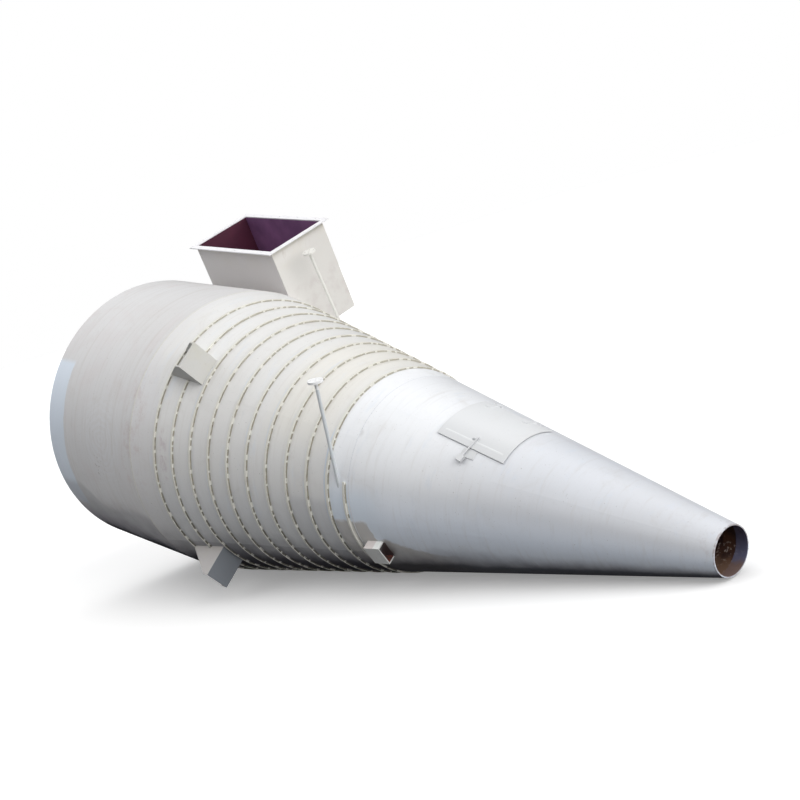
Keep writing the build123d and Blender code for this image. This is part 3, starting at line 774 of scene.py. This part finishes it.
looks = {
    "barrel": barrel_paint(),
    "ringed": ringed_paint(),
    "smooth": smooth_paint(),
    "duct": duct_paint(),
    "ring": fitting_paint("ring_paint", srgb(222, 221, 213), 0.8),
    "bracket": bracket_paint(),
    "flange": fitting_paint("flange_paint", srgb(240, 240, 243), 0.6),
    "hatch": hatch_paint(),
    # The door's bar is painted lighter than the door: a painted highlight along it
    "door_bar": fitting_paint("door_bar_paint", srgb(222, 224, 226), 0.4, 0.4),
    "bolt": fitting_paint("bolt_paint", srgb(176, 180, 182), 0.8),
    "pipe": pipe_paint(),
    "cream_pipe": fitting_paint("cream_pipe_paint", srgb(232, 231, 226), 0.6),
    "lug": lug_paint(),
    "crevice": crevice_paint(),
    "cream_weld": weld_paint("cream_weld", srgb(210, 209, 202)),
    "white_weld": weld_paint("white_weld", srgb(222, 225, 230)),
    "seal": fitting_paint("hatch_seal", srgb(198, 200, 201), 0.5, 0.6),
}

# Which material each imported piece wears, by the start of its name; the first match counts
WEARS = (
    ("barrel_nozzle", "cream_pipe"), ("cone_nozzle", "pipe"),
    ("barrel", "barrel"), ("roof", "barrel"), ("vortex", "barrel"), ("gas_outlet", "barrel"),
    ("ringed", "ringed"), ("ring_arcs", "ring"), ("ring_low", "ring"),
    ("smooth", "smooth"), ("cone_plate", "smooth"), ("outlet", "smooth"),
    ("inlet", "duct"), ("support", "bracket"), ("channel", "lug"), ("hatch", "hatch"),
)
WELD_REACH = 0.00002
CREASE_ANGLE = 25.0

for name, piece in nodes.items():
    look = next(worn for start, worn in WEARS if name.startswith(start))
    piece.data.materials.clear()
    piece.data.materials.append(looks[look])
    for face in piece.data.polygons:
        face.use_smooth = True
    weld = piece.modifiers.new("joined", "WELD")
    weld.merge_threshold = WELD_REACH
    crease = piece.modifiers.new("creases", "EDGE_SPLIT")
    crease.split_angle = math.radians(CREASE_ANGLE)


# Shapes


def add_piece(name, bm, material, body, smooth=True):
    bmesh.ops.recalc_face_normals(bm, faces=bm.faces)
    mesh = bpy.data.meshes.new(name)
    bm.to_mesh(mesh)
    bm.free()
    for face in mesh.polygons:
        face.use_smooth = smooth
    mesh.materials.append(material)
    piece = add_object(name, mesh)
    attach(piece, body)


def skin(bm, rows, closed=False):
    """Joins rows of places into a surface; closed joins the last row to the first."""
    made = [[bm.verts.new(place) for place in row] for row in rows]
    pairs = list(zip(made, made[1:]))
    if closed:
        pairs.append((made[-1], made[0]))
    for first, second in pairs:
        for index in range(len(first) - 1):
            bm.faces.new((first[index], first[index + 1], second[index + 1], second[index]))


# How many faces a bead has across it, and how far its edges sink into the plate
BEAD_SIDES = 6
BEAD_SINK = 0.0004


def bead(bm, places, normals, width, height, closed=False):
    """Weld bead along places: a low rounded strip that fades out at each open end, over a
    sixth of its length."""
    count = len(places)
    rows = []
    for index, (place, normal) in enumerate(zip(places, normals)):
        before = places[index - 1] if index or closed else place
        after = places[(index + 1) % count] if index < count - 1 or closed else place
        across = (after - before).normalized().cross(normal).normalized()
        size = 1.0
        if not closed:
            share = index / (count - 1)
            size = max(0.05, min(1.0, 6 * share, 6 * (1 - share))) ** 0.5
        size *= 1 + 0.10 * math.sin(2.3 * index) + chance.uniform(-0.08, 0.08)
        row = []
        for step in range(BEAD_SIDES + 1):
            turn = math.pi * step / BEAD_SIDES
            sideways = across * (0.5 * width * size * math.cos(turn))
            rise = normal * (height * size * math.sin(turn) - BEAD_SINK)
            row.append(place + sideways + rise)
        rows.append(row)
    skin(bm, rows, closed)


# Lengths of the dark dashes of grime and painted shade along a ring and of the welds between
# them, and how far the dashes stand off the ring's face
DASH_LENGTHS = (0.028, 0.036, 0.052, 0.062, 0.072, 0.088, 0.118)
WELD_LENGTHS = (0.012, 0.016, 0.022, 0.028, 0.038)
FACE_GAP = 0.0006


def stitches(ring):
    """Start and end bearings of each dash round one ring; its welds fill the gaps."""
    picker = random.Random(100 + ring)
    bearing, radius = picker.uniform(0, 10), shell_radius(RING_DEPTHS[ring])
    first, dashes = bearing, []
    while bearing < first + 359:
        dash = picker.choice(DASH_LENGTHS) * picker.uniform(0.85, 1.15)
        gap = picker.choice(WELD_LENGTHS) * picker.uniform(0.85, 1.15)
        end = bearing + math.degrees(dash / radius)
        dashes.append((bearing, min(end, first + 359.2)))
        bearing = end + math.degrees(gap / radius)
    return dashes


def add_dash(bm, centre, side, start, end, picker):
    """Dark strip of grime and painted shade up the face of a ring and along its foot, between two
    bearings.
    """
    face = centre + side * (RING_HALF + FACE_GAP)
    steps = max(3, int((end - start) / 1.1))
    rows = []
    for index in range(steps + 1):
        angle = math.radians(start + (end - start) * index / steps)
        top = RING_HEIGHT - picker.uniform(0.0022, 0.0045)
        foot = face + side * picker.uniform(0.0015, 0.0032)
        corners = (
            (face, shell_radius(centre) + top),
            (face, shell_radius(face) + FACE_GAP),
            (foot, shell_radius(foot) + 0.0005),
        )
        row = []
        for depth, radius in corners:
            row.append(upright(radius * math.cos(angle), radius * math.sin(angle), depth))
        rows.append(row)
    skin(bm, rows)


def add_stitch(bm, centre, side, start, end, steps=6):
    """Fillet weld in the corner of a ring and the plate, between two bearings."""
    face = centre + side * (RING_HALF + FACE_GAP)
    places, normals = [], []
    for index in range(steps + 1):
        bearing = start + (end - start) * index / steps
        places.append(at(bearing, face + side * 0.0015, 0.0015))
        normals.append((plate_normal(bearing) - UP_AXIS * side).normalized())
    bead(bm, places, normals, width=0.008, height=0.0024)


def make_ring_details():
    """Crevices and stitch welds on both sides of every ring."""
    low_start, low_end = LOW_RING_SPAN
    for side, word in ((1, "lower"), (-1, "upper")):
        dark, welds = bmesh.new(), bmesh.new()
        for ring, centre in enumerate(RING_DEPTHS):
            picker = random.Random(40 * ring + side)
            dashes = stitches(ring)
            for start, end in dashes:
                add_dash(dark, centre, side, start, end, picker)
            following = dashes[1:] + [(dashes[0][0] + 360, 0)]
            for (_, start), (end, _) in zip(dashes, following):
                add_stitch(welds, centre, side, start - 0.15, end + 0.15)
        picker = random.Random(side)
        for start, end in LOW_RING_DASHES:
            add_dash(dark, LOW_RING, side, start, end, picker)
        starts = [low_start + 0.5] + [end for _, end in LOW_RING_DASHES]
        ends = [start for start, _ in LOW_RING_DASHES] + [low_end - 0.3]
        for start, end in zip(starts, ends):
            add_stitch(welds, LOW_RING, side, start, end, steps=max(4, int((end - start) / 1.2)))
        add_piece(f"ring_crevices_{word}", dark, looks["crevice"], "shell")
        add_piece(f"ring_welds_{word}", welds, looks["cream_weld"], "shell")


def round_bead(name, depth, look, width, height, limit=None):
    """Weld bead all the way round; a limit is the farthest it may stand from the axis."""
    bm = bmesh.new()
    places, normals = [], []
    for index in range(420):
        bearing = index * 360 / 420
        places.append(at(bearing, depth))
        normals.append(plate_normal(bearing))
    bead(bm, places, normals, width, height, closed=True)
    if limit:
        for vert in bm.verts:
            spoke = from_axis(vert.co)
            if spoke.length > limit:
                vert.co -= spoke * (1 - limit / spoke.length)
    add_piece(name, bm, looks[look], "shell")


def duct_beads(name, runs, width, height):
    """Beads on the duct, one along each run of places and their normals."""
    bm = bmesh.new()
    for places, normals in runs:
        bead(bm, places, normals, width, height)
    add_piece(name, bm, looks["cream_weld"], "shell")


def between(first, last, step=0.012):
    count = max(3, int((last - first).length / step))
    return [first.lerp(last, index / count) for index in range(count + 1)]


# Where the duct's near wall meets the barrel, and each end's depth and outward direction
DUCT_FOOT = math.sqrt(BARREL_RADIUS**2 - DUCT_NEAR**2)
DUCT_ENDS = ((-DUCT_LOW, -UP_AXIS), (-DUCT_HIGH, UP_AXIS))


def make_foot_welds():
    """Weld round the duct's foot: along its near wall, and round the barrel at both ends."""
    outward, side = spoke_out(DUCT_BEARING), spoke_out(DUCT_BEARING + 90)
    low_corner, high_corner = [
        beside(DUCT_BEARING, DUCT_FOOT + 0.003, DUCT_NEAR - 0.001, depth) for depth, _ in DUCT_ENDS
    ]
    places = between(low_corner, high_corner)
    runs = [(places, [(outward - side).normalized()] * len(places))]
    start = math.degrees(math.asin(DUCT_NEAR / BARREL_RADIUS))
    end = math.degrees(math.acos(DUCT_CLOSED_END / BARREL_RADIUS))
    for depth, away in DUCT_ENDS:
        places = []
        for index in range(61):
            bearing = DUCT_BEARING + start + (end - start) * index / 60
            places.append(at(bearing, depth, 0.001) + away * 0.001)
        normals = [(away + from_axis(place).normalized()).normalized() for place in places]
        runs.append((places, normals))
    duct_beads("duct_foot_welds", runs, width=0.011, height=0.004)


def make_corner_seams():
    """Seams along the duct's four corners, from the shell to the flange."""
    side = spoke_out(DUCT_BEARING + 90)
    inset = 0.002
    seams = []
    for across, tilt, begin in ((DUCT_NEAR, -1, DUCT_FOOT), (DUCT_FAR, 1, DUCT_CLOSED_END)):
        for depth, away in DUCT_ENDS:
            first, last = [
                beside(DUCT_BEARING, along, across - tilt * inset, depth) - away * inset
                for along in (begin + 0.01, DUCT_MOUTH - 0.012)
            ]
            places = between(first, last)
            seams.append((places, [(side * tilt + away).normalized()] * len(places)))
    duct_beads("duct_corner_seams", seams, width=0.006, height=0.0022)


def bolt_places():
    """Where the flange's bolts go: ten down each long side, and four between at each end."""
    near, far = DUCT_NEAR - FLANGE_BOLT_LINE, DUCT_FAR + FLANGE_BOLT_LINE
    low, high = DUCT_LOW - FLANGE_BOLT_LINE, DUCT_HIGH + FLANGE_BOLT_LINE
    spots = []
    for index in range(10):
        height = low + (high - low) * index / 9
        spots += [(near, height), (far, height)]
    for index in range(1, 5):
        across = near + (far - near) * index / 5
        spots += [(across, low), (across, high)]
    along = DUCT_MOUTH - FLANGE_THICKNESS / 2
    return [beside(DUCT_BEARING, along, across, -height) for across, height in spots]


def make_flange():
    """The duct's flange with its bolt holes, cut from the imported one's own shape."""
    flange = add_object("drilled_inlet_flange", nodes["inlet_flange"].data.copy())
    holes = bmesh.new()
    turn = spoke_out(DUCT_BEARING).to_track_quat("Z", "Y").to_matrix().to_4x4()
    for place in bolt_places():
        bmesh.ops.create_cone(
            holes, cap_ends=True, segments=20, radius1=BOLT_HOLE_RADIUS, radius2=BOLT_HOLE_RADIUS,
            depth=0.03, matrix=Matrix.Translation(place) @ turn,
        )
    mesh = bpy.data.meshes.new("hole_tools")
    holes.to_mesh(mesh)
    holes.free()
    tool = add_object("hole_tools", mesh)
    join = flange.modifiers.new("joined", "WELD")
    join.merge_threshold = WELD_REACH
    cut = flange.modifiers.new("holes", "BOOLEAN")
    cut.operation = "DIFFERENCE"
    cut.solver = "EXACT"
    cut.object = tool
    bpy.context.view_layer.update()
    shown = flange.evaluated_get(bpy.context.evaluated_depsgraph_get())
    drilled = bpy.data.meshes.new_from_object(shown)
    flange.modifiers.clear()
    flange.data = drilled
    bpy.data.objects.remove(tool)
    drilled.materials.clear()
    drilled.materials.append(looks["flange"])
    for face in drilled.polygons:
        face.use_smooth = False
    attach(flange, "shell")
    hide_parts("inlet_flange")


def make_gasket():
    """Seal in the gap round the hatch, along all four edges of the door."""
    gasket = bmesh.new()
    inset = 0.012
    low, high = 0.0003, 0.0047
    free, half = HATCH_HALF - 0.0015, HATCH_HALF - inset
    top, bottom = HATCH_TOP + inset, HATCH_BOTTOM - inset
    corners = [(-free, top), (half, top), (half, bottom), (-free, bottom)]
    loop = []
    for (x0, d0), (x1, d1) in zip(corners, corners[1:] + corners[:1]):
        for index in range(24):
            share = index / 24
            loop.append((x0 + (x1 - x0) * share, d0 + (d1 - d0) * share))
    rows = []
    middle = (top + bottom) / 2
    for outer in loop:
        inner = (outer[0] * 0.94, middle + (outer[1] - middle) * 0.95)
        section = ((outer, low), (outer, high), (inner, high), (inner, low))
        rows.append([over_hatch(*place, lift) for place, lift in section])
    skin(gasket, rows, closed=True)
    add_piece("hatch_gasket", gasket, looks["seal"], "shell", smooth=False)


# Section of the door's bar as (across, lift), and profile of the latch's bolt as (radius, lift)
BAR_SECTION = ((-0.165, 0.0101), (-0.162, 0.0111), (-0.158, 0.0114), (-0.154, 0.0101))
BOLT_PROFILE = ((0.0085, 0.0100), (0.0085, 0.0135), (0.0065, 0.0155), (0.0015, 0.0162))


def make_door_bar():
    """Low raised bar down the door, near its free edge."""
    bar = bmesh.new()
    rows = []
    start, end = HATCH_TOP + 0.035, HATCH_BOTTOM - 0.030
    for index in range(41):
        depth = start + (end - start) * index / 40
        rows.append([over_hatch(across, depth, lift) for across, lift in BAR_SECTION])
    skin(bar, rows)
    add_piece("hatch_door_bar", bar, looks["door_bar"], "hatch")


def make_latch_bolt():
    """Round bolt head on the door beside the latch."""
    bolt = bmesh.new()
    middle = at(*LATCH_BOLT)
    away = plate_normal(LATCH_BOLT[0])
    first = away.orthogonal().normalized()
    second = away.cross(first)
    rows = []
    for radius, lift in BOLT_PROFILE:
        ring = []
        for index in range(25):
            angle = math.radians(15 * index)
            spoke = first * math.cos(angle) + second * math.sin(angle)
            ring.append(middle + spoke * radius + away * lift)
        rows.append(ring)
    skin(bolt, rows)
    add_piece("latch_bolt", bolt, looks["bolt"], "hatch")


make_ring_details()
round_bead(
    "barrel_cone_weld", 0.005, "cream_weld", width=0.010, height=0.0009,
    limit=BARREL_RADIUS - 0.00015,
)
round_bead("cone_seam_weld", SEAM_DEPTH, "white_weld", width=0.008, height=0.0006)
make_foot_welds()
make_corner_seams()
make_flange()
make_gasket()
make_door_bar()
make_latch_bolt()

# Floor, light and camera

FLOOR_REACH = 60.0
FLOOR_DROP = 0.0005
FLOOR_DARK = (0.012, 0.012, 0.014, 1.0)
FLOOR_PALE = (0.9, 0.9, 0.9, 1.0)
FLOOR_GLOW = 0.25
WHITE = (1.0, 1.0, 1.0, 1.0)
SKY_BRIGHT_WAY = (-0.331, -0.288, 0.899)
SKY_STOPS = ((0.54, (0.056, 0.061, 0.072, 1.0)), (0.78, WHITE))
SKY_STRENGTH = 1.2
CAMERA_PLACE = Vector((7.73321, -5.31584, 2.24553))
CAMERA_RIGHT = Vector((0.589131, 0.758084, -0.279702))
CAMERA_UP = Vector((0.065651, 0.3001, 0.951646))
CAMERA_BACK = Vector((0.805366, -0.579007, 0.127029))
SENSOR_WIDTH, LENS = 36.0, 66.265


def floor_material():
    """Pale where it is seen, directly or in a reflection, and dark where it bounces light."""
    ground = bpy.data.materials.new("floor")
    ground.use_nodes = True
    tree = ground.node_tree
    tree.nodes.clear()
    rays = add_node(tree, "LightPath").outputs
    seen = rays["Is Camera Ray"]
    for kind in ("Is Glossy Ray", "Is Transmission Ray"):
        either = add_node(tree, "Math", {0: seen, 1: rays[kind]}, operation="MAXIMUM")
        seen = either.outputs[0]
    dark = add_node(tree, "BsdfDiffuse", {"Color": FLOOR_DARK}).outputs[0]
    pale = add_node(tree, "BsdfDiffuse", {"Color": FLOOR_PALE}).outputs[0]
    glow = add_node(tree, "Emission", {"Color": WHITE, "Strength": FLOOR_GLOW}).outputs[0]
    bright = add_node(tree, "AddShader", {0: pale, 1: glow}).outputs[0]
    choice = add_node(tree, "MixShader", {0: seen, 1: dark, 2: bright}).outputs[0]
    add_node(tree, "OutputMaterial", {"Surface": choice})
    return ground


def sky_world():
    """White to the camera; its light comes from a bright cap round one direction."""
    world = bpy.data.worlds.new("sky")
    world.use_nodes = True
    tree = world.node_tree
    tree.nodes.clear()
    seen = add_node(tree, "LightPath").outputs["Is Camera Ray"]
    place = add_node(tree, "TexCoord").outputs["Generated"]
    inputs = {0: place, 1: SKY_BRIGHT_WAY}
    rise = add_node(tree, "VectorMath", inputs, operation="DOT_PRODUCT").outputs["Value"]
    ramp = add_node(tree, "ValToRGB", {"Fac": rise})
    for stop, (position, colour) in zip(ramp.color_ramp.elements, SKY_STOPS):
        stop.position = position
        stop.color = colour
    inputs = {"Color": ramp.outputs["Color"], "Strength": SKY_STRENGTH}
    sky = add_node(tree, "Background", inputs).outputs[0]
    white = add_node(tree, "Background", {"Color": WHITE}).outputs[0]
    choice = add_node(tree, "MixShader", {0: seen, 1: sky, 2: white}).outputs[0]
    add_node(tree, "OutputWorld", {"Surface": choice})
    return world


def add_sun(name, strength, width, toward, colour=(1.0, 1.0, 1.0)):
    """Soft light from one direction; its width across the sky is in degrees."""
    data = bpy.data.lights.new(name, "SUN")
    data.energy = strength
    data.angle = math.radians(width)
    data.color = colour
    sun = add_object(name, data)
    sun.rotation_mode = "QUATERNION"
    sun.rotation_quaternion = Vector(toward).to_track_quat("Z", "Y")


floor_mesh = bpy.data.meshes.new("floor")
sides = ((-1, -1), (1, -1), (1, 1), (-1, 1))
corners = [(x * FLOOR_REACH, y * FLOOR_REACH, -FLOOR_DROP) for x, y in sides]
floor_mesh.from_pydata(corners, [], [(0, 1, 2, 3)])
floor = add_object("floor", floor_mesh)
floor_mesh.materials.append(floor_material())

scene.world = sky_world()
add_sun("soft_sun", strength=3.7, width=70, toward=(0.97, 0.0, 0.242), colour=(1.0, 0.99, 0.975))
add_sun("far_sky", strength=0.55, width=60, toward=(0.30, 0.80, 0.52))

camera_data = bpy.data.cameras.new("camera")
camera_data.sensor_width = SENSOR_WIDTH
camera_data.lens = LENS
camera_data.clip_end = 200.0
camera = add_object("camera", camera_data)
axes = Matrix((CAMERA_RIGHT, CAMERA_UP, CAMERA_BACK)).transposed().to_4x4()
camera.matrix_world = Matrix.Translation(CAMERA_PLACE) @ axes
scene.camera = camera
